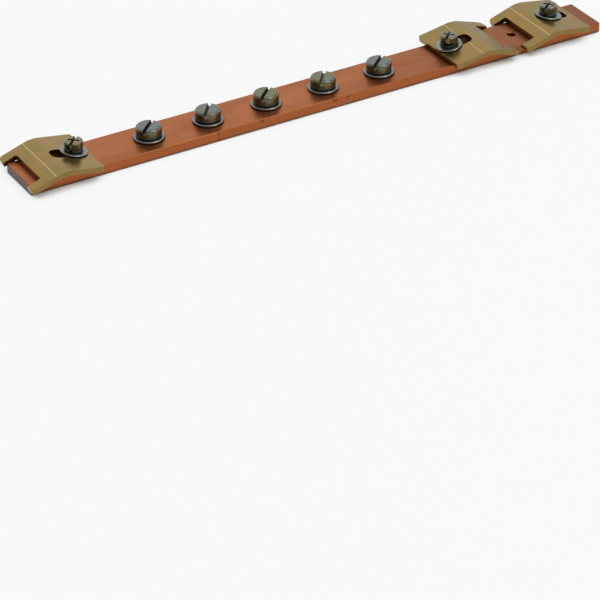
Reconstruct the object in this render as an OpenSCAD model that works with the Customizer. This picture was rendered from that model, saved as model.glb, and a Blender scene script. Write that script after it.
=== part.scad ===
// Earth terminal bar: a flat copper bar with a row of washer-faced terminal
// screws, three slotted saddle clamps and one spare tapped hole.
// Origin: middle of the bar's underside. X runs along the bar, Z is up.

/* [Bar] */
// Length of the copper bar
bar_len = 250; // [225:1:290]
// Width of the copper bar
bar_w = 20; // [18:0.5:24]
// Thickness of the copper bar
bar_t = 4; // [3:0.25:6]
// Radius of the bar's drawn edges
bar_edge_r = 0.4; // [0.1:0.05:0.8]

/* [Terminal screws] */
// First terminal screw, from the bar's left end
first_terminal = 53.6; // [50:0.1:58]
// From the last terminal to the middle clamp's screw end
last_terminal_gap = 27.1; // [20:0.1:40]
// Diameter of the round head
head_d = 9.9; // [9:0.1:11]
// Height of the round head
head_h = 3; // [2.8:0.1:3.9]
// Radius of the head's shoulder
head_shoulder_r = 1.2; // [0.4:0.1:1.6]
// Width of the head's slot
slot_w = 1.4; // [1:0.1:2]
// Depth of the head's slot
slot_depth = 1.5; // [0.8:0.1:1.9]
// Tapping diameter of the terminal holes
terminal_tap_d = 5; // [4:0.1:5.4]

/* [Terminal washers] */
// Outer diameter of the flat washer
washer_d = 12; // [11.4:0.1:14]
// Bore of the flat washer
washer_bore = 6.4; // [6:0.1:7]
// Thickness of the flat washer
washer_t = 1; // [0.6:0.1:1.6]
// Outer diameter of the spring washer
spring_d = 9.6; // [9:0.1:10.6]
// Bore of the spring washer
spring_bore = 6.2; // [6:0.1:6.8]
// Thickness of the spring washer
spring_t = 1.2; // [0.8:0.1:1.6]
// Gap between the ends of a spring washer
spring_split = 0.9; // [0.4:0.1:1.4]

/* [Clamp screws] */
// Clamp screw nearest the left end, from that end
left_clamp_hole = 22.7; // [21:0.1:25]
// Middle clamp screw, from the bar's right end
middle_clamp_hole = 64.5; // [63.5:0.1:67]
// Clamp screw nearest the right end, from that end
right_clamp_hole = 17.9; // [16:0.1:19]
// Spare tapped hole, from the bar's right end
spare_hole = 35.1; // [32:0.1:37]
// Diameter of the clamp screw's head
clamp_head_d = 7; // [6.9:0.1:7.8]
// Height of the clamp screw's head
clamp_head_h = 2.6; // [2.2:0.1:3.4]
// Radius of the clamp screw head's shoulder
clamp_head_shoulder_r = 0.6; // [0.2:0.1:1]
// Length of the clamp screw under its head
clamp_screw_len = 8; // [7:0.25:8.5]
// Width of the clamp screw's slot
clamp_slot_w = 1.1; // [0.8:0.1:1.4]
// Depth of the clamp screw's slot
clamp_slot_depth = 1.1; // [0.6:0.1:1.4]
// Width across the cross recess
recess_d = 4.6; // [3.6:0.1:5]
// Tapping diameter of the clamp and spare holes
clamp_tap_d = 3.3; // [3:0.1:3.6]

/* [Clamp washers] */
// Outer diameter of the clamp's flat washer
clamp_washer_d = 10.6; // [9.8:0.1:11]
// Bore of the clamp's flat washer
clamp_washer_bore = 4.5; // [4.3:0.1:5]
// Thickness of the clamp's flat washer
clamp_washer_t = 0.8; // [0.6:0.1:1.2]
// Outer diameter of the clamp's spring washer
clamp_spring_d = 7; // [6.6:0.1:7]
// Bore of the clamp's spring washer
clamp_spring_bore = 4.3; // [4.1:0.1:4.6]
// Thickness of the clamp's spring washer
clamp_spring_t = 0.9; // [0.7:0.1:1.2]

/* [Saddle clamps] */
// Thickness of the sheet
sheet_t = 2; // [1.5:0.1:2.5]
// How far the clamp reaches past each side of the bar
clamp_side = 4.5; // [3.5:0.1:6]
// From the screw end to the ridge
ridge_at = 15.5; // [15:0.1:16.5]
// Height of the ridge's underside over the bar
ridge_rise = 2.6; // [2:0.1:3]
// Inside radius of the bend at the ridge
bend_r = 11; // [6:0.5:12]
// From the screw end to the notch's back edge, which both rest on the bar
foot_span = 23.6; // [22.5:0.1:25]
// Length of the legs that straddle the bar
notch_depth = 5; // [4:0.1:6]
// Gap between the notch and each side of the bar
notch_gap = 0.25; // [0.1:0.05:0.5]
// Corner radius of the legs
leg_corner_r = 2; // [0.5:0.1:2.6]
// Corner radius at the screw end
screw_end_corner_r = 1; // [0.4:0.1:2]
// Width of the adjusting slot
adjust_slot_w = 6.8; // [5.6:0.1:7.4]
// Length of the adjusting slot
adjust_slot_len = 12.2; // [11.6:0.1:12.6]
// Solid strip left between the screw end and the adjusting slot
adjust_slot_from = 2.8; // [2.4:0.1:3.2]
// Corner radius of the adjusting slot
adjust_slot_r = 2.6; // [1:0.1:2.7]
// Screw in the left clamp's slot, from the screw end
left_screw_at = 5; // [4.8:0.1:8]
// Screw in the middle clamp's slot, from the screw end
middle_screw_at = 4.8; // [4.8:0.1:8]
// Screw in the right clamp's slot, from the screw end
right_screw_at = 10.2; // [8:0.1:10.4]

/* [Hidden] */
$fn = 96;
TERMINALS = 5;
CLAMPS = 3;

// Radial gap between a screw's thread and its tapped hole
thread_gap = 0.05;
// Height of a terminal screw's end over the bar's underside
screw_end_gap = 0.2;
// Chamfer at the mouth of a tapped hole
mouth_chamfer = 0.35;
// Chamfer on the edges of the flat washers
washer_edge = 0.25;
// Cross recess of the clamp screws: width of a wing, depth and floor
recess_wing_w = 0.95;
recess_depth = 1.7;
recess_floor_d = 1.4;
// Corner radius where the notch meets its back edge
notch_corner_r = 0.5;
// How far a rounding circle stands proud of the faces that it runs into, so
// that it crosses them at a degree or two and leaves no sliver
round_ease = 0.001;
// How far a cutter runs past the face it cuts
cut = 1;

// Turn of each screw's slot about its axis
terminal_turns = [43, 51, 43, 52, 41];
clamp_turns = [46, 41, 37];

// The terminals share out the bar between the first one and the middle clamp
terminal_row = bar_len - first_terminal - last_terminal_gap - middle_clamp_hole - middle_screw_at;
terminal_pitch = terminal_row / (TERMINALS - 1);

// Places along the bar, from its middle
terminal_x = [for (i = [0:TERMINALS - 1]) first_terminal + i * terminal_pitch - bar_len / 2];
clamp_x = [
    left_clamp_hole - bar_len / 2,
    bar_len / 2 - middle_clamp_hole,
    bar_len / 2 - right_clamp_hole
];
spare_x = bar_len / 2 - spare_hole;

// Height of a terminal screw's head over the bar's underside
terminal_head_z = bar_t + washer_t + spring_t;

// Each clamp's legs point left, except the middle one's
clamp_turned = [180, 0, 180];
screw_at = [left_screw_at, middle_screw_at, right_screw_at];
clamp_w = bar_w + 2 * clamp_side;

// The clamp's underside rests on the bar at the screw end and at the notch's
// back edge, so the ridge between them sets the slopes of both flanges
screw_slope = atan(ridge_rise / ridge_at);
leg_slope = atan(ridge_rise / (foot_span - ridge_at));
bend_angle = screw_slope + leg_slope;
// Length of flange that the bend takes up on each side of the ridge
bend_reach = bend_r * tan(bend_angle / 2);
screw_flange = ridge_at / cos(screw_slope);
leg_flange = (foot_span - ridge_at + notch_depth) / cos(leg_slope);
// Reach below the sheet of the shape that clears its underside
deep = 3 * (bend_r + sheet_t);

// Point of the side view at a distance from the ridge along the flanges,
// negative on the screw side, and at a height over the sheet's underside
function from_ridge(along, height) = along < 0
    ? [ridge_at + along * cos(screw_slope) - height * sin(screw_slope),
       ridge_rise + along * sin(screw_slope) + height * cos(screw_slope)]
    : [ridge_at + along * cos(leg_slope) + height * sin(leg_slope),
       ridge_rise - along * sin(leg_slope) + height * cos(leg_slope)];
bend_centre = from_ridge(-bend_reach, -bend_r);

// The clamp's washers lie on the slope, each shifted up it by as much as the
// upright screw is. The head rests on the spring washer's higher edge.
washer_shift = clamp_washer_t / 2 * tan(screw_slope);
spring_shift = (clamp_washer_t + clamp_spring_t / 2) * tan(screw_slope);
head_over_sheet = (spring_shift + clamp_spring_d / 2) * sin(screw_slope)
    + (clamp_washer_t + clamp_spring_t) * cos(screw_slope);
// Height over the bar's top at which the washers lie on each clamp, just clear
// of the bend, which stands proud of the sheet where it starts
washer_seat = sheet_t + 2 * round_ease;
sheet_over_bar = [for (at = screw_at) at * tan(screw_slope) + washer_seat / cos(screw_slope)];

// ---- Shared shapes ----

// Rectangle that starts at x = 0, with all its corners rounded
module all_rounded(len, width, r) {
    translate([r, -width / 2]) square([len - 2 * r, width]);
    translate([0, r - width / 2]) square([len, width - 2 * r]);
    for (x = [r, len - r], side = [-1, 1])
        translate([x, side * (width / 2 - r)]) circle(r);
}

// Flat ring with chamfered outer edges, standing on z = 0
module flat_ring(outer_d, bore, thick) {
    inner = outer_d / 2 - washer_edge;
    rotate_extrude()
        polygon([
            [bore / 2, 0], [inner, 0], [outer_d / 2, washer_edge],
            [outer_d / 2, thick - washer_edge], [inner, thick], [bore / 2, thick]
        ]);
}

// Split ring of rectangular section, standing on z = 0
module split_ring(outer_d, bore, thick) {
    difference() {
        cylinder(d = outer_d, h = thick);
        translate([0, 0, -cut]) cylinder(d = bore, h = thick + 2 * cut);
        translate([0, -spring_split / 2, -cut])
            cube([outer_d, spring_split, thick + 2 * cut]);
    }
}

// Round screw head with a rounded shoulder, standing on z = 0
module round_head(d, h, shoulder_r) {
    rotate_extrude() {
        square([d / 2 - shoulder_r, h]);
        square([d / 2, h - shoulder_r]);
        translate([d / 2 - shoulder_r, h - shoulder_r])
            intersection() {
                circle(shoulder_r);
                square(shoulder_r);
            }
    }
}

// Straight cut down into a head whose top is at z = 0
module head_slot(length, width, depth) {
    translate([-length / 2, -width / 2, -depth]) cube([length, width, depth + cut]);
}

// Cross recess in a head whose top is at z = 0, narrowing to its floor
module cross_recess() {
    intersection() {
        translate([0, 0, -recess_depth])
            cylinder(d1 = recess_floor_d, d2 = recess_d, h = recess_depth);
        for (turn = [0, 90])
            rotate([0, 0, turn]) head_slot(recess_d, recess_wing_w, recess_depth);
    }
}

// Tapped hole through the bar, with a chamfered mouth
module tapped_hole(d) {
    translate([0, 0, -cut]) cylinder(d = d, h = bar_t + 2 * cut);
    translate([0, 0, bar_t - mouth_chamfer])
        cylinder(d1 = d, d2 = d + 2 * (mouth_chamfer + cut), h = mouth_chamfer + cut);
}

// ---- Copper bar ----

module bar_section() {
    square([bar_w - 2 * bar_edge_r, bar_t], center = true);
    square([bar_w, bar_t - 2 * bar_edge_r], center = true);
    for (side = [-1, 1], face = [-1, 1])
        translate([side * (bar_w / 2 - bar_edge_r), face * (bar_t / 2 - bar_edge_r)])
            circle(bar_edge_r);
}

module copper_bar() {
    color([0.76, 0.46, 0.26])
    difference() {
        translate([-bar_len / 2, 0, bar_t / 2])
            rotate([90, 0, 90]) linear_extrude(bar_len) bar_section();
        for (x = terminal_x)
            translate([x, 0, 0]) tapped_hole(terminal_tap_d);
        for (x = concat(clamp_x, [spare_x]))
            translate([x, 0, 0]) tapped_hole(clamp_tap_d);
    }
}

// ---- Terminals ----

module terminal_screw(i) {
    shank_len = terminal_head_z - screw_end_gap;
    color([0.62, 0.65, 0.58])
    translate([terminal_x[i], 0, terminal_head_z]) rotate([0, 0, terminal_turns[i]]) {
        difference() {
            round_head(head_d, head_h, head_shoulder_r);
            translate([0, 0, head_h]) head_slot(head_d + cut, slot_w, slot_depth);
        }
        translate([0, 0, -shank_len])
            cylinder(d = terminal_tap_d - 2 * thread_gap, h = shank_len);
    }
}

module terminal_spring_washer(i) {
    color([0.4, 0.42, 0.42])
    translate([terminal_x[i], 0, bar_t + washer_t])
        rotate([0, 0, terminal_turns[i]]) split_ring(spring_d, spring_bore, spring_t);
}

module terminal_washer(i) {
    color([0.75, 0.79, 0.82])
    translate([terminal_x[i], 0, bar_t]) flat_ring(washer_d, washer_bore, washer_t);
}

// ---- Saddle clamps ----

// A clamp's own frame: x = 0 under the screw end, with the ridge along +X
module at_clamp(i) {
    translate([clamp_x[i], 0, bar_t])
        rotate([0, 0, clamp_turned[i]])
            translate([-screw_at[i], 0, 0]) children();
}

// Lies on the screw side's slope: z = 0 is the sheet's underside
module on_screw_slope() {
    rotate([0, -screw_slope, 0]) children();
}

// Lies on the leg side's slope, with x = 0 at the ridge
module on_leg_slope() {
    translate([ridge_at, 0, ridge_rise]) rotate([0, leg_slope, 0]) children();
}

// Draws a side view across the clamp, running past its two sides by a margin
module across_clamp(margin) {
    translate([0, clamp_w / 2 + margin, 0])
        rotate([90, 0, 0]) linear_extrude(clamp_w + 2 * margin) children();
}

// The sheet bent over the ridge: all that lies under its top face, less all
// that lies under its underside
module bent_sheet() {
    difference() {
        union() {
            across_clamp(0)
                polygon([
                    from_ridge(-screw_flange, -cut), from_ridge(-screw_flange, sheet_t),
                    from_ridge(-bend_reach, sheet_t), from_ridge(bend_reach, sheet_t),
                    from_ridge(leg_flange, sheet_t), from_ridge(leg_flange, -cut)
                ]);
            across_clamp(0) translate(bend_centre) circle(bend_r + sheet_t + round_ease);
        }
        across_clamp(cut)
            polygon([
                [-deep, -deep], from_ridge(-screw_flange - 2 * cut, 0),
                from_ridge(-bend_reach, 0), from_ridge(bend_reach, 0),
                from_ridge(leg_flange + 2 * cut, 0), [foot_span + deep, -deep]
            ]);
        across_clamp(cut) translate(bend_centre) circle(bend_r + round_ease);
    }
}

// Takes a rounded corner off a sheet whose corner is at the origin
module corner_cutter(r) {
    translate([0, 0, -cut])
        linear_extrude(sheet_t + 2 * cut)
            difference() {
                translate([-cut, -cut]) square(r + cut);
                translate([r, r]) circle(r + round_ease);
            }
}

module saddle_clamp(i) {
    color([0.68, 0.57, 0.32])
    at_clamp(i)
        difference() {
            bent_sheet();
            for (side = [0, 1])
                mirror([0, side, 0]) {
                    on_screw_slope()
                        translate([0, -clamp_w / 2, 0]) corner_cutter(screw_end_corner_r);
                    on_leg_slope()
                        translate([leg_flange, -clamp_w / 2, 0])
                            mirror([1, 0, 0]) corner_cutter(leg_corner_r);
                }
            translate([foot_span, 0, -bar_t])
                linear_extrude(2 * bar_t)
                    all_rounded(2 * notch_depth, bar_w + 2 * notch_gap, notch_corner_r);
            on_screw_slope()
                translate([adjust_slot_from, 0, -cut])
                    linear_extrude(sheet_t + 2 * cut)
                        all_rounded(adjust_slot_len, adjust_slot_w, adjust_slot_r);
        }
}

// ---- Clamp screws and washers ----

// Where a clamp screw's axis meets the top of the sheet, turned up the slope
module on_sheet(i) {
    at_clamp(i)
        translate([screw_at[i], 0, sheet_over_bar[i]])
            rotate([0, -screw_slope, 0]) children();
}

module clamp_screw(i) {
    color([0.6, 0.6, 0.5])
    translate([clamp_x[i], 0, bar_t + sheet_over_bar[i] + head_over_sheet])
        rotate([0, 0, clamp_turns[i]]) {
            difference() {
                round_head(clamp_head_d, clamp_head_h, clamp_head_shoulder_r);
                translate([0, 0, clamp_head_h]) {
                    head_slot(clamp_head_d + cut, clamp_slot_w, clamp_slot_depth);
                    cross_recess();
                }
            }
            translate([0, 0, -clamp_screw_len])
                cylinder(d = clamp_tap_d - 2 * thread_gap, h = clamp_screw_len);
        }
}

module clamp_spring_washer(i) {
    color([0.4, 0.42, 0.42])
    on_sheet(i)
        translate([spring_shift, 0, clamp_washer_t])
            rotate([0, 0, clamp_turns[i]])
                split_ring(clamp_spring_d, clamp_spring_bore, clamp_spring_t);
}

module clamp_washer(i) {
    color([0.75, 0.79, 0.82])
    on_sheet(i)
        translate([washer_shift, 0, 0])
            flat_ring(clamp_washer_d, clamp_washer_bore, clamp_washer_t);
}

copper_bar();
for (i = [1:TERMINALS]) {
    terminal_screw(i - 1);
    terminal_spring_washer(i - 1);
    terminal_washer(i - 1);
}
for (i = [1:CLAMPS]) {
    saddle_clamp(i - 1);
    clamp_screw(i - 1);
    clamp_spring_washer(i - 1);
    clamp_washer(i - 1);
}
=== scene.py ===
"""Dresses the earth terminal bar: finishes, small edge radii, a pale studio and a camera.

All lengths are in metres unless a name ends in _mm. The frame is the part's own: X runs along
the bar, Z is up out of the face that carries the screws, and the bar's underside is z = 0.
"""

import logging
import math
from dataclasses import dataclass, field
from enum import Enum
from typing import Any, ClassVar

import bpy
from mathutils import Matrix, Vector

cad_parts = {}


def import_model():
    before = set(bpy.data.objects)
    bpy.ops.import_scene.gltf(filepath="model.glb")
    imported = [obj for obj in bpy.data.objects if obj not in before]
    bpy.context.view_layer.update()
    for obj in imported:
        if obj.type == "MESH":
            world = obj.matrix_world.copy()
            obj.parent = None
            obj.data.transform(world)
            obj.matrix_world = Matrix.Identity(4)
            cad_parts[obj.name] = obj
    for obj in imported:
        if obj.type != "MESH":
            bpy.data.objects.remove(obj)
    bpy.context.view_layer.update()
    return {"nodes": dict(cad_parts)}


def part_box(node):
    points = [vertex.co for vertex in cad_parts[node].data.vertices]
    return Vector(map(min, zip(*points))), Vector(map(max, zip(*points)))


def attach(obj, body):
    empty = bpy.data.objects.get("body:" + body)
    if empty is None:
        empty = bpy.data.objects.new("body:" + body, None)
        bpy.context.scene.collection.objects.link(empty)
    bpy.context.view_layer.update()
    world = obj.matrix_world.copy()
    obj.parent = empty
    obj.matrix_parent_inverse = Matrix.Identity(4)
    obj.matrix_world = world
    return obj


LOG = logging.getLogger("earth_terminal_bar")
MM = 0.001
BODY = "root"
# Noise values between which a fine pattern runs from nothing to full strength
FINE_SPAN = (0.3, 0.7)
# Rays traced to tell how open a place is
OPENNESS_SAMPLES = 8


def linear(hex_code: str) -> tuple[float, float, float, float]:
    """Turns an sRGB hex colour into the linear colour that shaders use.

    Args:
        hex_code: Six hex digits, with or without a leading hash.

    Returns:
        Linear red, green and blue, with an alpha of 1.
    """
    digits = hex_code.lstrip("#")
    channels = [int(digits[i:i + 2], 16) / 255 for i in (0, 2, 4)]
    turned = [c / 12.92 if c <= 0.04045 else ((c + 0.055) / 1.055) ** 2.4 for c in channels]
    return (turned[0], turned[1], turned[2], 1.0)


def scale_for(feature_mm: float) -> float:
    """Gives a pattern's scale, in cells per metre, from the real size of one feature."""
    return 1.0 / (feature_mm * MM)


def add_node(tree: bpy.types.NodeTree, kind: str, settings: dict[str, Any] | None = None,
             sockets: dict[str | int, Any] | None = None) -> bpy.types.Node:
    """Adds a shader node with its settings, socket values and links.

    Args:
        tree: The node tree to add to.
        kind: The node's type, such as "ShaderNodeTexNoise".
        settings: Values of the node's own properties.
        sockets: For each input, by name or number, a constant or the output that feeds it.

    Returns:
        The new node.
    """
    node = tree.nodes.new(kind)
    for name, value in (settings or {}).items():
        setattr(node, name, value)
    for key, value in (sockets or {}).items():
        if isinstance(value, bpy.types.NodeSocket):
            tree.links.new(value, node.inputs[key])
        else:
            node.inputs[key].default_value = value
    return node


def mix_colour(tree: bpy.types.NodeTree, share: Any, first: Any, second: Any,
               blend: str = "MIX") -> bpy.types.NodeSocket:
    """Blends two colours.

    Args:
        tree: The node tree to add to.
        share: How much of the second colour, as a constant or an output.
        first: The first colour, or the output that gives it.
        second: The second colour, or the output that gives it.
        blend: How the two are blended.

    Returns:
        The blended colour's output.
    """
    node = add_node(tree, "ShaderNodeMix", {"data_type": "RGBA", "blend_type": blend},
                    {0: share, 6: first, 7: second})
    return node.outputs[2]


class Finish:
    """A surface finish, which builds one Blender material from its own values."""

    name: str
    # How open a place is, from 0 to 1, where painted shade starts and where it is deepest
    unshaded_above: ClassVar[float] = 0.8
    darkest_below: ClassVar[float] = 0.3
    deepest_shade: ClassVar[float] = 0.9

    def start(self) -> tuple[bpy.types.Material, bpy.types.Node, bpy.types.NodeSocket]:
        """Makes an empty material with a shader and the part's own coordinates.

        Returns:
            The material, its shader and the coordinates in metres.
        """
        material = bpy.data.materials.new(self.name)
        material.use_nodes = True
        tree = material.node_tree
        tree.nodes.clear()
        shader = add_node(tree, "ShaderNodeBsdfPrincipled")
        add_node(tree, "ShaderNodeOutputMaterial", sockets={"Surface": shader.outputs[0]})
        place = add_node(tree, "ShaderNodeTexCoord").outputs["Object"]
        return material, shader, place

    def blotches(self, tree: bpy.types.NodeTree, place: bpy.types.NodeSocket, size_mm: float,
                 span: tuple[float, float], stretch: tuple[float, float, float] = (1, 1, 1),
                 detail: float = 3.0) -> bpy.types.NodeSocket:
        """Draws soft irregular patches, or streaks when they are stretched.

        Args:
            tree: The node tree to add to.
            place: The coordinates.
            size_mm: The real size of one patch.
            span: Noise values that give 0 and 1.
            stretch: How many times longer a patch is along each axis.
            detail: How many finer layers the patches carry.

        Returns:
            A value from 0 to 1 over the surface.
        """
        squeeze = tuple(1.0 / s for s in stretch)
        placed = add_node(tree, "ShaderNodeMapping", sockets={"Vector": place, "Scale": squeeze})
        noise = add_node(tree, "ShaderNodeTexNoise", sockets={
            "Vector": placed.outputs[0], "Scale": scale_for(size_mm), "Detail": detail})
        spread = add_node(tree, "ShaderNodeMapRange", {"clamp": True}, {
            "Value": noise.outputs[0], "From Min": span[0], "From Max": span[1]})
        return spread.outputs[0]

    def band(self, tree: bpy.types.NodeTree, along: bpy.types.NodeSocket, at: float,
             half_width: float) -> bpy.types.NodeSocket:
        """Draws a soft band across an axis.

        Args:
            tree: The node tree to add to.
            along: The coordinate along the axis.
            at: The band's middle.
            half_width: From the middle to where the band has faded out.

        Returns:
            A value of 1 at the band's middle that falls to 0.
        """
        offset = add_node(tree, "ShaderNodeMath", {"operation": "SUBTRACT"}, {0: along, 1: at})
        away = add_node(tree, "ShaderNodeMath", {"operation": "ABSOLUTE"}, {0: offset.outputs[0]})
        fade = add_node(tree, "ShaderNodeMapRange",
                        {"clamp": True, "interpolation_type": "SMOOTHSTEP"}, {
                            "Value": away.outputs[0], "From Min": half_width, "From Max": 0.0})
        return fade.outputs[0]

    def facing(self, tree: bpy.types.NodeTree, axis: str, none_at: float,
               full_at: float) -> bpy.types.NodeSocket:
        """Finds the faces that look along an axis, or away from it.

        Args:
            tree: The node tree to add to.
            axis: The axis: X, Y or Z.
            none_at: Share of the normal along the axis that gives 0.
            full_at: Share of the normal along the axis that gives 1.

        Returns:
            A value from 0 to 1 over the surface.
        """
        normal = add_node(tree, "ShaderNodeNewGeometry").outputs["Normal"]
        axes = add_node(tree, "ShaderNodeSeparateXYZ", sockets={0: normal})
        along = add_node(tree, "ShaderNodeMath", {"operation": "ABSOLUTE"}, {0: axes.outputs[axis]})
        found = add_node(tree, "ShaderNodeMapRange", {"clamp": True}, {
            "Value": along.outputs[0], "From Min": none_at, "From Max": full_at})
        return found.outputs[0]

    def upright(self, tree: bpy.types.NodeTree) -> bpy.types.NodeSocket:
        """Finds the upright faces: 1 on them, falling to 0 on level ones."""
        return self.facing(tree, "Z", 0.75, 0.25)

    def painted_recess_shade(self, tree: bpy.types.NodeTree, colour: bpy.types.NodeSocket, reach_mm: float,
              tone: str) -> bpy.types.NodeSocket:
        """Darkens a colour down in slots and corners with painted shade, from how open the place
        is.

        Args:
            tree: The node tree to add to.
            colour: The colour so far.
            reach_mm: How wide a slot may be and still count.
            tone: The colour of the painted shade.

        Returns:
            The darkened colour.
        """
        openness = add_node(tree, "ShaderNodeAmbientOcclusion", {"samples": OPENNESS_SAMPLES},
                            {"Distance": reach_mm * MM})
        depth = add_node(tree, "ShaderNodeMapRange", {"clamp": True}, {
            "Value": openness.outputs["AO"], "From Min": self.unshaded_above,
            "From Max": self.darkest_below, "To Max": self.deepest_shade})
        return mix_colour(tree, depth.outputs[0], colour, linear(tone))

    def bump(self, tree: bpy.types.NodeTree, shader: bpy.types.Node,
             height: bpy.types.NodeSocket, depth_mm: float) -> None:
        """Gives the shader a fine relief.

        Args:
            tree: The node tree to add to.
            shader: The shader that takes the relief.
            height: A value from 0 to 1 over the surface.
            depth_mm: The relief's real depth.
        """
        relief = add_node(tree, "ShaderNodeBump", sockets={
            "Height": height, "Distance": depth_mm * MM, "Strength": 1.0})
        tree.links.new(relief.outputs[0], shader.inputs["Normal"])


@dataclass(frozen=True)
class Scuff:
    """A dark rub on the bar's sides, from a height up to the top edge."""

    at_mm: float
    half_width_mm: float
    strength: float
    from_mm: float = 2.6


@dataclass(frozen=True)
class DrawnCopper(Finish):
    """Bare copper flat bar, drawn through a die and lightly oxidised.

    Drawing leaves fine lengthwise lines, and handling leaves broad soft patches where the
    oxide is redder. The eye gets a warm orange-brown metal with a dull sheen.
    """

    name: str = "drawn_copper"
    fresh: str = "#C67A47"
    oxidised: str = "#B56A3F"
    upright_shade_tone: str = "#A86038"
    end_shade_tone: str = "#5C4636"
    far_end_shade_tone: str = "#8A5638"
    recess_shade_tone: str = "#2A160C"
    roughness: float = 0.36
    recess_shade_reach_mm: float = 3.0
    patch_mm: float = 9.0
    patch_span: tuple[float, float] = (0.36, 0.66)
    patch_stretch: tuple[float, float, float] = (2.2, 1, 1)
    # Real die lines are about 0.05 mm wide, which is too fine to show, so they are drawn wider.
    line_mm: float = 0.45
    line_stretch: tuple[float, float, float] = (60, 1, 1)
    line_shade: tuple[float, float] = (0.9, 1.06)
    line_depth_mm: float = 0.008
    fade_from_mm: float = 20.0
    fade_to_mm: float = 110.0
    fade_share: float = 0.75
    rub_tone: str = "#3A2418"
    rub_soft_mm: float = 0.4
    scuffs: tuple[Scuff, ...] = (
        Scuff(-47.3, 0.35, 0.75, 0.0), Scuff(-28.8, 1.4, 0.55), Scuff(3.0, 1.8, 0.6),
        Scuff(8.7, 1.2, 0.45), Scuff(35.1, 1.4, 0.5, 3.2))

    def build(self) -> bpy.types.Material:
        """Builds the material."""
        material, shader, place = self.start()
        tree = material.node_tree
        axes = add_node(tree, "ShaderNodeSeparateXYZ", sockets={0: place})
        patches = self.blotches(tree, place, self.patch_mm, self.patch_span,
                                self.patch_stretch)
        lines = self.blotches(tree, place, self.line_mm, FINE_SPAN, self.line_stretch, 2.0)
        body = mix_colour(tree, patches, linear(self.fresh), linear(self.oxidised))
        # Painted shade: the bar grows darker towards its +X end
        far_shade = add_node(tree, "ShaderNodeMapRange", {"clamp": True}, {
            "Value": axes.outputs["X"], "From Min": self.fade_from_mm * MM,
            "From Max": self.fade_to_mm * MM, "To Max": self.fade_share})
        body = mix_colour(tree, far_shade.outputs[0], body, linear(self.far_end_shade_tone))
        upright = self.upright(tree)
        # Painted shade: the bar's upright sides are darker than its top
        body = mix_colour(tree, upright, body, linear(self.upright_shade_tone))
        # Painted shade: the bar's end faces are darkened
        body = mix_colour(tree, self.shaded_ends(tree), body, linear(self.end_shade_tone))
        streaked = add_node(tree, "ShaderNodeMapRange", {"clamp": True}, {
            "Value": lines, "To Min": self.line_shade[0], "To Max": self.line_shade[1]})
        body = mix_colour(tree, 1.0, body, streaked.outputs[0], "MULTIPLY")
        for scuff in self.scuffs:
            body = self.rub(tree, body, axes, upright, scuff)
        # Painted shade down in recesses and corners, from how open each place is
        body = self.painted_recess_shade(tree, body, self.recess_shade_reach_mm, self.recess_shade_tone)
        tree.links.new(body, shader.inputs["Base Color"])
        shader.inputs["Metallic"].default_value = 1.0
        shader.inputs["Roughness"].default_value = self.roughness
        self.bump(tree, shader, lines, self.line_depth_mm)
        return material

    def shaded_ends(self, tree: bpy.types.NodeTree) -> bpy.types.NodeSocket:
        """Finds the bar's two end faces, which carry painted shade: 1 on them and 0 elsewhere."""
        return self.facing(tree, "X", 0.7, 0.95)

    def rub(self, tree: bpy.types.NodeTree, body: bpy.types.NodeSocket, axes: bpy.types.Node,
            upright: bpy.types.NodeSocket, scuff: Scuff) -> bpy.types.NodeSocket:
        """Darkens the bar's edges where something rubbed them.

        Args:
            tree: The node tree to add to.
            body: The colour so far.
            axes: The coordinates, split by axis.
            upright: A value of 1 on the bar's upright faces.
            scuff: The rub.

        Returns:
            The darkened colour.
        """
        mark = self.band(tree, axes.outputs["X"], scuff.at_mm * MM, scuff.half_width_mm * MM)
        amount = add_node(tree, "ShaderNodeMath", {"operation": "MULTIPLY"}, {0: mark, 1: upright})
        rise = add_node(tree, "ShaderNodeMapRange", {"clamp": True}, {
            "Value": axes.outputs["Z"], "From Min": (scuff.from_mm - self.rub_soft_mm) * MM,
            "From Max": (scuff.from_mm + self.rub_soft_mm) * MM, "To Max": scuff.strength})
        eased = add_node(tree, "ShaderNodeMath", {"operation": "MULTIPLY"},
                         {0: amount.outputs[0], 1: rise.outputs[0]})
        return mix_colour(tree, eased.outputs[0], body, linear(self.rub_tone))


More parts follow.
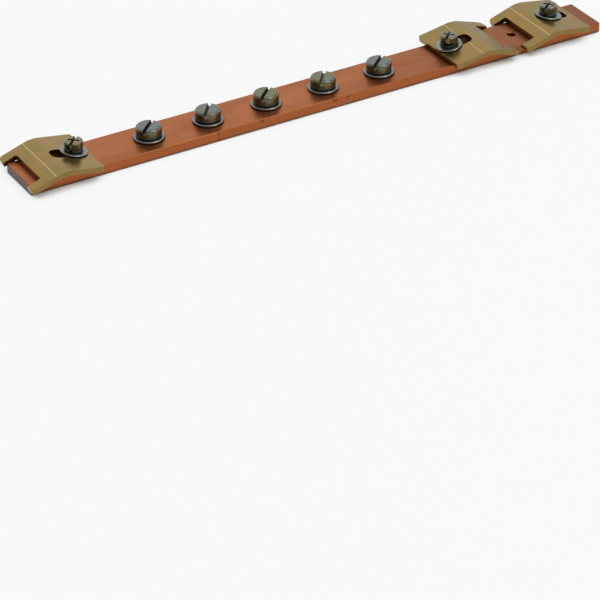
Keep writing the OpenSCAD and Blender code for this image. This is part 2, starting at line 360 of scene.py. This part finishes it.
@dataclass(frozen=True)
class YellowZinc(Finish):
    """Pressed steel sheet, zinc plated and yellow chromated.

    The chromate film is thin, so it drifts between gold, olive and a faint pink. Its upright cut
    edges get painted shade. The eye gets a golden satin sheet with soft cloudy tints, bright enough
    to mirror the screw that stands on it.
    """

    name: str
    press_mark: float
    mark_strength: float
    gold: str = "#AC8C50"
    olive: str = "#9C8A54"
    pink: str = "#B08A60"
    bright: str = "#F0DDB0"
    cut_edge_shade: str = "#8C7444"
    recess_shade_tone: str = "#1C150C"
    roughness: float = 0.27
    recess_shade_reach_mm: float = 2.5
    cloud_mm: float = 5.5
    cloud_span: tuple[float, float] = (0.38, 0.64)
    tint_mm: float = 3.2
    tint_span: tuple[float, float] = (0.5, 0.72)
    tint_share: float = 0.45
    mark_half_width_mm: float = 0.3
    # Rolling leaves a grain of about 0.02 mm, too fine to show, so it is drawn coarser.
    grain_mm: float = 0.35
    grain_depth_mm: float = 0.004

    def build(self) -> bpy.types.Material:
        """Builds the material."""
        material, shader, place = self.start()
        tree = material.node_tree
        clouds = self.blotches(tree, place, self.cloud_mm, self.cloud_span)
        tints = self.blotches(tree, place, self.tint_mm, self.tint_span)
        grain = self.blotches(tree, place, self.grain_mm, FINE_SPAN, detail=1.0)
        sheet = mix_colour(tree, clouds, linear(self.gold), linear(self.olive))
        faint = add_node(tree, "ShaderNodeMath", {"operation": "MULTIPLY"},
                         {0: tints, 1: self.tint_share})
        sheet = mix_colour(tree, faint.outputs[0], sheet, linear(self.pink))
        along = add_node(tree, "ShaderNodeSeparateXYZ", sockets={0: place}).outputs["X"]
        mark = self.band(tree, along, self.press_mark, self.mark_half_width_mm * MM)
        upright = self.upright(tree)
        level = add_node(tree, "ShaderNodeMapRange", {"clamp": True},
                         {"Value": upright, "To Min": self.mark_strength, "To Max": 0.0})
        shown = add_node(tree, "ShaderNodeMath", {"operation": "MULTIPLY"},
                         {0: mark, 1: level.outputs[0]})
        sheet = mix_colour(tree, shown.outputs[0], sheet, linear(self.bright))
        # Painted shade: the sheet's upright cut edges are darker than its faces
        sheet = mix_colour(tree, upright, sheet, linear(self.cut_edge_shade))
        # Painted shade down in recesses and corners, from how open each place is
        sheet = self.painted_recess_shade(tree, sheet, self.recess_shade_reach_mm, self.recess_shade_tone)
        tree.links.new(sheet, shader.inputs["Base Color"])
        shader.inputs["Metallic"].default_value = 1.0
        shader.inputs["Roughness"].default_value = self.roughness
        self.bump(tree, shader, grain, self.grain_depth_mm)
        return material


@dataclass(frozen=True)
class PlatedSteel(Finish):
    """Zinc-plated steel, turned or pressed.

    The plating is a soft blue-grey with patches where the passivation is yellower. The eye
    gets a cool satin metal.
    """

    name: str
    cool: str
    warm: str
    roughness: float
    warm_from: float = 0.5
    # How far below and above that noise value the tint blends in
    warm_blend: tuple[float, float] = (0.08, 0.12)
    # Painted shade on the upright sides, darker than the level faces
    side_shade_tone: str = "#6E6A50"
    recess_shade_tone: str = "#15181A"
    recess_shade_reach_mm: float = 2.0
    patch_mm: float = 2.4
    grain_mm: float = 0.25
    grain_depth_mm: float = 0.003

    def build(self) -> bpy.types.Material:
        """Builds the material."""
        material, shader, place = self.start()
        tree = material.node_tree
        warm_span = (self.warm_from - self.warm_blend[0], self.warm_from + self.warm_blend[1])
        patches = self.blotches(tree, place, self.patch_mm, warm_span)
        grain = self.blotches(tree, place, self.grain_mm, FINE_SPAN, detail=1.0)
        plated = mix_colour(tree, patches, linear(self.cool), linear(self.warm))
        # Painted shade: upright sides are darker than level faces
        plated = mix_colour(tree, self.upright(tree), plated, linear(self.side_shade_tone))
        # Painted shade down in recesses and corners, from how open each place is
        plated = self.painted_recess_shade(tree, plated, self.recess_shade_reach_mm, self.recess_shade_tone)
        tree.links.new(plated, shader.inputs["Base Color"])
        shader.inputs["Metallic"].default_value = 1.0
        shader.inputs["Roughness"].default_value = self.roughness
        self.bump(tree, shader, grain, self.grain_depth_mm)
        return material


@dataclass
class Dresser:
    """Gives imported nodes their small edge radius, finish and body."""

    nodes: dict[str, bpy.types.Object]
    weld_mm: float = 0.002
    sharp_deg: float = 28.0

    def dress(self, name: str, material: bpy.types.Material, slot: str,
              edge_mm: float, segments: int = 2) -> None:
        """Dresses one node.

        Args:
            name: The node.
            material: Its finish.
            slot: The record's material slot; not used.
            edge_mm: Radius given to its sharp edges.
            segments: Faces across that radius.
        """
        piece = self.nodes[name]
        piece.data.materials.clear()
        piece.data.materials.append(material)
        weld = piece.modifiers.new("join_faces", "WELD")
        weld.merge_threshold = self.weld_mm * MM
        edge = piece.modifiers.new("edge_radius", "BEVEL")
        edge.width = edge_mm * MM
        edge.segments = segments
        edge.limit_method = "ANGLE"
        edge.angle_limit = math.radians(self.sharp_deg)
        edge.use_clamp_overlap = True
        shading = piece.modifiers.new("shading", "WEIGHTED_NORMAL")
        shading.keep_sharp = False
        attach(piece, BODY)


class Facing(Enum):
    """Which way a clamp's legs point."""

    LEGS_LEFT = "legs_left"
    LEGS_RIGHT = "legs_right"


@dataclass
class Bar:
    """The copper bar."""

    dresser: Dresser
    edge_mm: float = 0.12

    def build(self) -> None:
        """Dresses the bar."""
        self.dresser.dress("copper_bar", DrawnCopper().build(), "copper", self.edge_mm)
        LOG.info("copper bar dressed")


@dataclass
class Terminals:
    """The row of terminal screws with their washers."""

    dresser: Dresser
    # From which noise value up each head's passivation turns yellow: lower is yellower.
    warm_from: tuple[float, ...] = (0.56, 0.54, 0.46, 0.44, 0.54)
    washer: PlatedSteel = field(default_factory=lambda: PlatedSteel(
        "pressed_zinc_plated_steel", "#98A2A6", "#98998E", 0.3, side_shade_tone="#8E9494"))
    spring: PlatedSteel = field(default_factory=lambda: PlatedSteel(
        "plated_spring_steel", "#6C7474", "#6A6A5E", 0.36, side_shade_tone="#5E625A"))

    def build(self) -> dict[str, bpy.types.Material]:
        """Dresses every terminal.

        Returns:
            The washers' materials, which the clamps' fasteners use as well.
        """
        shared = {"washer": self.washer.build(), "spring": self.spring.build()}
        for i, warm_from in enumerate(self.warm_from, start=1):
            turned = PlatedSteel(f"turned_zinc_plated_steel_{i}", "#808A90", "#8A8258", 0.27,
                                 warm_from)
            self.dresser.dress(f"terminal_screw_{i}", turned.build(), "zinc_screw", 0.15)
            self.dresser.dress(f"terminal_washer_{i}", shared["washer"], "zinc_washer", 0.06)
            self.dresser.dress(f"terminal_spring_washer_{i}", shared["spring"],
                               "spring_steel", 0.08)
            LOG.info("terminal %d dressed", i)
        return shared


@dataclass(frozen=True)
class Clamp:
    """One saddle clamp: which way it faces and where its press mark lies."""

    number: int
    facing: Facing
    mark_from_screw_end_mm: float
    mark_strength: float

    def mark_place(self) -> float:
        """Works out the press mark's place along the bar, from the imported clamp's box."""
        low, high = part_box(f"saddle_clamp_{self.number}")
        distance = self.mark_from_screw_end_mm * MM
        if self.facing is Facing.LEGS_LEFT:
            return high[0] - distance
        return low[0] + distance


@dataclass
class Clamps:
    """The saddle clamps, with their screws and washers."""

    dresser: Dresser
    shared: dict[str, bpy.types.Material]
    edge_mm: float = 0.5
    screw: PlatedSteel = field(default_factory=lambda: PlatedSteel(
        "cold_headed_zinc_plated_steel", "#8A8E88", "#94855A", 0.25, 0.48))
    clamps: tuple[Clamp, ...] = (
        Clamp(1, Facing.LEGS_LEFT, 19.4, 0.7), Clamp(2, Facing.LEGS_RIGHT, 11.9, 0.6),
        Clamp(3, Facing.LEGS_LEFT, 19.4, 0.7))

    def build(self) -> None:
        """Dresses every clamp and its fasteners."""
        headed = self.screw.build()
        for clamp in self.clamps:
            n = clamp.number
            sheet = YellowZinc(f"yellow_zinc_sheet_{n}", clamp.mark_place(), clamp.mark_strength)
            self.dresser.dress(f"saddle_clamp_{n}", sheet.build(), "yellow_zinc", self.edge_mm, 3)
            self.dresser.dress(f"clamp_screw_{n}", headed, "zinc_screw", 0.12)
            self.dresser.dress(f"clamp_washer_{n}", self.shared["washer"], "zinc_washer", 0.06)
            self.dresser.dress(f"clamp_spring_washer_{n}", self.shared["spring"],
                               "spring_steel", 0.06)
            LOG.info("clamp %d dressed", n)


@dataclass(frozen=True)
class Lamp:
    """A square soft lamp that faces the bar: its place in metres, its side and its watts."""

    name: str
    place: tuple[float, float, float]
    side: float
    power: float


@dataclass
class Studio:
    """Pale floor, soft lamps, white surroundings and the camera."""

    floor_side: float = 6.0
    floor_gap: float = 0.0002
    floor_tone: str = "#F2F2F2"
    shadow_reach: float = 0.008
    # How open the floor is, from 0 to 1, where its shadow is deepest and where it is white
    shadow_span: tuple[float, float] = (0.2, 0.6)
    white_share: float = 0.85
    lamps: tuple[Lamp, ...] = (
        Lamp("key_softbox", (0.36, -0.66, 0.94), 0.42, 1.6),
        Lamp("side_softbox", (1.15, 0.1, 0.35), 0.4, 0.8))
    camera_place: tuple[float, float, float] = (-0.502837, -0.872193, 0.535001)
    azimuth: float = -0.515968754
    elevation: float = 0.555721177
    roll: float = -0.0171689229
    lens: float = 178.47
    sensor: float = 36.0
    ambient: float = 0.8
    # The surroundings as metal mirrors them: white behind the bar, pale at the front right and
    # dimmer elsewhere, which is what gives metal its shape.
    dim: float = 0.45
    behind: tuple[float, float, float] = (0.15, 0.80, 0.58)
    front_right: tuple[float, float, float] = (0.35, -0.60, 0.72)
    front_strength: float = 0.4
    # Cosines of the angle from a side's middle where it starts and where it is full
    side_span: tuple[float, float] = (0.6, 0.92)

    def build(self) -> None:
        """Sets up everything around the bar."""
        self.add_floor()
        for lamp in self.lamps:
            self.add_lamp(lamp)
        self.add_surroundings()
        self.add_camera()
        bpy.context.scene.view_settings.view_transform = "Standard"
        LOG.info("studio ready")

    def add_floor(self) -> None:
        """Adds the floor: white to the camera, with part of the bar's shadow kept."""
        bpy.ops.mesh.primitive_plane_add(size=self.floor_side, location=(0, 0, -self.floor_gap))
        floor = bpy.context.object
        floor.name = "floor"
        material = bpy.data.materials.new("matt_white_floor")
        material.use_nodes = True
        tree = material.node_tree
        tree.nodes.clear()
        matt = add_node(tree, "ShaderNodeBsdfDiffuse", sockets={"Color": linear(self.floor_tone)})
        white = add_node(tree, "ShaderNodeEmission", sockets={"Strength": 1.0})
        openness = add_node(tree, "ShaderNodeAmbientOcclusion", {"samples": OPENNESS_SAMPLES},
                            {"Distance": self.shadow_reach})
        share = add_node(tree, "ShaderNodeMapRange", {"clamp": True}, {
            "Value": openness.outputs["AO"], "From Min": self.shadow_span[0],
            "From Max": self.shadow_span[1], "To Max": self.white_share})
        seen = add_node(tree, "ShaderNodeMath", {"operation": "MULTIPLY"},
                        {0: self.direct_rays(tree), 1: share.outputs[0]})
        mixed = add_node(tree, "ShaderNodeMixShader",
                         sockets={0: seen.outputs[0], 1: matt.outputs[0], 2: white.outputs[0]})
        add_node(tree, "ShaderNodeOutputMaterial", sockets={"Surface": mixed.outputs[0]})
        floor.data.materials.append(material)

    def add_lamp(self, lamp: Lamp) -> None:
        """Hangs one lamp.

        Args:
            lamp: The lamp.
        """
        data = bpy.data.lights.new(lamp.name, "AREA")
        data.size = lamp.side
        data.energy = lamp.power
        hung = bpy.data.objects.new(lamp.name, data)
        hung.location = lamp.place
        hung.rotation_euler = (-Vector(lamp.place)).to_track_quat("-Z", "Y").to_euler()
        bpy.context.scene.collection.objects.link(hung)

    def add_surroundings(self) -> None:
        """Adds even light all round, white to the camera and shaped by direction in metal."""
        world = bpy.data.worlds.new("studio_white")
        world.use_nodes = True
        tree = world.node_tree
        tree.nodes.clear()
        mirrored = add_node(tree, "ShaderNodeMath", {"operation": "ADD", "use_clamp": True}, {
            0: self.pale_side(tree, self.behind, self.dim, 1.0),
            1: self.pale_side(tree, self.front_right, 0.0, self.front_strength)})
        glossy = add_node(tree, "ShaderNodeLightPath").outputs["Is Glossy Ray"]
        seen = add_node(tree, "ShaderNodeMix", sockets={0: glossy, 2: 1.0, 3: mirrored.outputs[0]})
        strength = add_node(tree, "ShaderNodeMix", sockets={
            0: self.direct_rays(tree), 2: self.ambient, 3: seen.outputs[0]})
        glow = add_node(tree, "ShaderNodeBackground", sockets={"Strength": strength.outputs[0]})
        add_node(tree, "ShaderNodeOutputWorld", sockets={0: glow.outputs[0]})
        bpy.context.scene.world = world

    def direct_rays(self, tree: bpy.types.NodeTree) -> bpy.types.NodeSocket:
        """Finds the rays that show the background: 1 on camera, mirror and see-through rays."""
        ray = add_node(tree, "ShaderNodeLightPath")
        total = add_node(tree, "ShaderNodeMath", {"operation": "ADD"}, {
            0: ray.outputs["Is Camera Ray"], 1: ray.outputs["Is Glossy Ray"]})
        clear = add_node(tree, "ShaderNodeMath", {"operation": "ADD", "use_clamp": True}, {
            0: total.outputs[0], 1: ray.outputs["Is Transmission Ray"]})
        return clear.outputs[0]

    def pale_side(self, tree: bpy.types.NodeTree, towards: tuple[float, float, float],
                  low: float, high: float) -> bpy.types.NodeSocket:
        """Gives one side of the surroundings a soft brightness.

        Args:
            tree: The world's node tree.
            towards: The direction of the side's middle.
            low: Strength away from it.
            high: Strength at its middle.

        Returns:
            The strength over all directions.
        """
        view = add_node(tree, "ShaderNodeTexCoord").outputs["Generated"]
        near = add_node(tree, "ShaderNodeVectorMath", {"operation": "DOT_PRODUCT"}, {
            0: view, 1: towards})
        side = add_node(tree, "ShaderNodeMapRange",
                        {"clamp": True, "interpolation_type": "SMOOTHSTEP"}, {
                            "Value": near.outputs["Value"], "From Min": self.side_span[0],
                            "From Max": self.side_span[1], "To Min": low, "To Max": high})
        return side.outputs[0]

    def add_camera(self) -> None:
        """Adds the camera, from its azimuth, elevation and roll."""
        back = Vector((math.sin(self.azimuth) * math.cos(self.elevation),
                       -math.cos(self.azimuth) * math.cos(self.elevation),
                       math.sin(self.elevation)))
        right = (-back).cross(Vector((0, 0, 1))).normalized()
        up = right.cross(-back)
        turned = math.cos(self.roll) * right + math.sin(self.roll) * up
        upright = -math.sin(self.roll) * right + math.cos(self.roll) * up
        data = bpy.data.cameras.new("camera")
        data.lens = self.lens
        data.sensor_width = self.sensor
        camera = bpy.data.objects.new("camera", data)
        axes = Matrix((turned, upright, back)).transposed().to_4x4()
        camera.matrix_world = Matrix.Translation(self.camera_place) @ axes
        bpy.context.scene.collection.objects.link(camera)
        bpy.context.scene.camera = camera


def write_sizes() -> None:
    """Brings the view layer up to date.
    """
    bpy.context.view_layer.update()


def main() -> None:
    """Dresses the part and builds the studio."""
    logging.basicConfig(level=logging.INFO, format="%(message)s")
    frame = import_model()
    dresser = Dresser(frame["nodes"])
    Bar(dresser).build()
    shared = Terminals(dresser).build()
    Clamps(dresser, shared).build()
    Studio().build()
    write_sizes()


if __name__ == "__main__":
    main()
